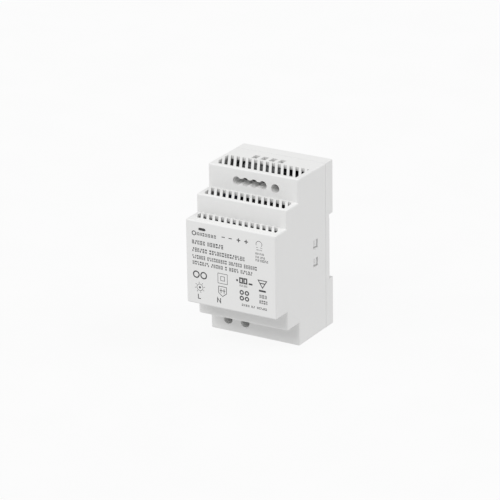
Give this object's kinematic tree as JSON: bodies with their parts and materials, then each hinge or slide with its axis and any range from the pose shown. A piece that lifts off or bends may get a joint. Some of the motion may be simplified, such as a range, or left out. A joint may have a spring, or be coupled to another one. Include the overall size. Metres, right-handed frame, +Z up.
{
  "type": "din rail power supply",
  "caption": "Stepped plastic power supply that clips onto a 35 mm rail, with vented ledges, sunk screw terminals at top and bottom and a sprung rail latch.",
  "frame": {"origin": "centre of the rail seat: the point on the rail centre line, in the plane that rests on the front of the rail, at mid-width", "axes": "+X across the width, to the right seen from the front; -Y out of the printed front face, +Y into the rail; +Z up the rail plane, towards the output terminals"},
  "size_m": [0.0524, 0.0584, 0.09],
  "materials": {
    "housing_plastic": "fine moulded grain",
    "base_plastic": "fine moulded grain",
    "latch_plastic": "satin",
    "spring_steel": "drawn wire",
    "clear_plastic": "smoky, polished",
    "led_body": "moulded",
    "board_laminate": "solder mask",
    "terminal_plastic": "moulded",
    "trimmer_plastic": "moulded",
    "rotor_plastic": "moulded",
    "ferrite": "sintered",
    "black_moulding": "moulded",
    "winding_tape": "film tape",
    "capacitor_sleeve": "shrunk sleeve",
    "copper_wire": "enamelled copper wire",
    "film_box": "moulded",
    "ceramic_blue": "dipped coating",
    "thermistor_green": "dipped coating",
    "heatsink_aluminium": "black anodised",
    "screw_steel": "zinc plated",
    "clamp_steel": "zinc plated",
    "tinned_brass": "tinned"
  },
  "bodies": {
    "housing": {"front_housing": "housing_plastic", "rear_base": "base_plastic", "latch_spring": "spring_steel", "led_light_pipe": "clear_plastic", "status_led": "led_body", "led_riser_board": "board_laminate", "main_circuit_board": "board_laminate", "output_terminal_block": "terminal_plastic", "input_terminal_block": "terminal_plastic", "trimmer_body": "trimmer_plastic", "transformer_core": "ferrite", "transformer_bobbin": "black_moulding", "transformer_winding": "winding_tape", "bulk_capacitor": "capacitor_sleeve", "output_capacitor_1": "capacitor_sleeve", "output_capacitor_2": "capacitor_sleeve", "choke_core": "ferrite", "choke_winding_1": "copper_wire", "choke_winding_2": "copper_wire", "x_capacitor": "film_box", "y_capacitor": "ceramic_blue", "fuse": "black_moulding", "inrush_thermistor": "thermistor_green", "bridge_rectifier": "black_moulding", "primary_heatsink": "heatsink_aluminium", "secondary_heatsink": "heatsink_aluminium", "switching_transistor": "black_moulding", "output_rectifier": "black_moulding", "transistor_screw": "screw_steel", "rectifier_screw": "screw_steel", "output_inductor": "ferrite", "optocoupler": "black_moulding", "controller_chip": "black_moulding", "board_screw_1": "screw_steel", "output_contact_1": "tinned_brass", "board_screw_2": "screw_steel", "output_contact_2": "tinned_brass", "board_screw_3": "screw_steel", "output_contact_3": "tinned_brass", "board_screw_4": "screw_steel", "output_contact_4": "tinned_brass", "input_contact_1": "tinned_brass", "input_contact_2": "tinned_brass"},
    "rail_latch": {"din_latch": "latch_plastic"},
    "trimmer_rotor": {"trimmer_rotor": "rotor_plastic"},
    "output_screw_1": {"output_screw_1": "screw_steel"},
    "output_clamp_1": {"output_clamp_1": "clamp_steel"},
    "output_screw_2": {"output_screw_2": "screw_steel"},
    "output_clamp_2": {"output_clamp_2": "clamp_steel"},
    "output_screw_3": {"output_screw_3": "screw_steel"},
    "output_clamp_3": {"output_clamp_3": "clamp_steel"},
    "output_screw_4": {"output_screw_4": "screw_steel"},
    "output_clamp_4": {"output_clamp_4": "clamp_steel"},
    "input_screw_1": {"input_screw_1": "screw_steel"},
    "input_clamp_1": {"input_clamp_1": "clamp_steel"},
    "input_screw_2": {"input_screw_2": "screw_steel"},
    "input_clamp_2": {"input_clamp_2": "clamp_steel"}
  },
  "joints": [
    {"name": "latch_release", "type": "slide", "parent": "housing", "child": "rail_latch", "axis": [0, 0, -1], "range_m": [0, 0.005], "stiffness_N_per_m": 400, "springref_m": -0.002, "deforming": ["latch_spring"]},
    {"name": "output_screw_1_turn", "type": "hinge", "parent": "housing", "child": "output_screw_1", "pos_m": [-0.00956, -0.0192, 0.03975], "axis": [0, 1, 0], "range_deg": [0, 1800]},
    {"name": "output_clamp_1_rise", "type": "slide", "parent": "housing", "child": "output_clamp_1", "axis": [0, -1, 0], "range_m": [0, 0.0025]},
    {"name": "output_screw_2_turn", "type": "hinge", "parent": "housing", "child": "output_screw_2", "pos_m": [-0.00448, -0.0192, 0.03975], "axis": [0, 1, 0], "range_deg": [0, 1800]},
    {"name": "output_clamp_2_rise", "type": "slide", "parent": "housing", "child": "output_clamp_2", "axis": [0, -1, 0], "range_m": [0, 0.0025]},
    {"name": "output_screw_3_turn", "type": "hinge", "parent": "housing", "child": "output_screw_3", "pos_m": [0.0006, -0.0192, 0.03975], "axis": [0, 1, 0], "range_deg": [0, 1800]},
    {"name": "output_clamp_3_rise", "type": "slide", "parent": "housing", "child": "output_clamp_3", "axis": [0, -1, 0], "range_m": [0, 0.0025]},
    {"name": "output_screw_4_turn", "type": "hinge", "parent": "housing", "child": "output_screw_4", "pos_m": [0.00568, -0.0192, 0.03975], "axis": [0, 1, 0], "range_deg": [0, 1800]},
    {"name": "output_clamp_4_rise", "type": "slide", "parent": "housing", "child": "output_clamp_4", "axis": [0, -1, 0], "range_m": [0, 0.0025]},
    {"name": "input_screw_1_turn", "type": "hinge", "parent": "housing", "child": "input_screw_1", "pos_m": [-0.016, -0.0192, -0.03695], "axis": [0, 1, 0], "range_deg": [0, 1800]},
    {"name": "input_clamp_1_rise", "type": "slide", "parent": "housing", "child": "input_clamp_1", "axis": [0, -1, 0], "range_m": [0, 0.0025]},
    {"name": "input_screw_2_turn", "type": "hinge", "parent": "housing", "child": "input_screw_2", "pos_m": [-0.00584, -0.0192, -0.03695], "axis": [0, 1, 0], "range_deg": [0, 1800]},
    {"name": "input_clamp_2_rise", "type": "slide", "parent": "housing", "child": "input_clamp_2", "axis": [0, -1, 0], "range_m": [0, 0.0025]},
    {"name": "voltage_trim", "type": "hinge", "parent": "housing", "child": "trimmer_rotor", "pos_m": [0.0129, -0.0154, 0.0393], "axis": [0, 1, 0], "range_deg": [-130, 130]}
  ],
  "couplings": [
    {"joint": "output_screw_1_turn", "follows": "output_clamp_1_rise", "rad_per_m": 12566},
    {"joint": "output_screw_2_turn", "follows": "output_clamp_2_rise", "rad_per_m": 12566},
    {"joint": "output_screw_3_turn", "follows": "output_clamp_3_rise", "rad_per_m": 12566},
    {"joint": "output_screw_4_turn", "follows": "output_clamp_4_rise", "rad_per_m": 12566},
    {"joint": "input_screw_1_turn", "follows": "input_clamp_1_rise", "rad_per_m": 12566},
    {"joint": "input_screw_2_turn", "follows": "input_clamp_2_rise", "rad_per_m": 12566}
  ]
}
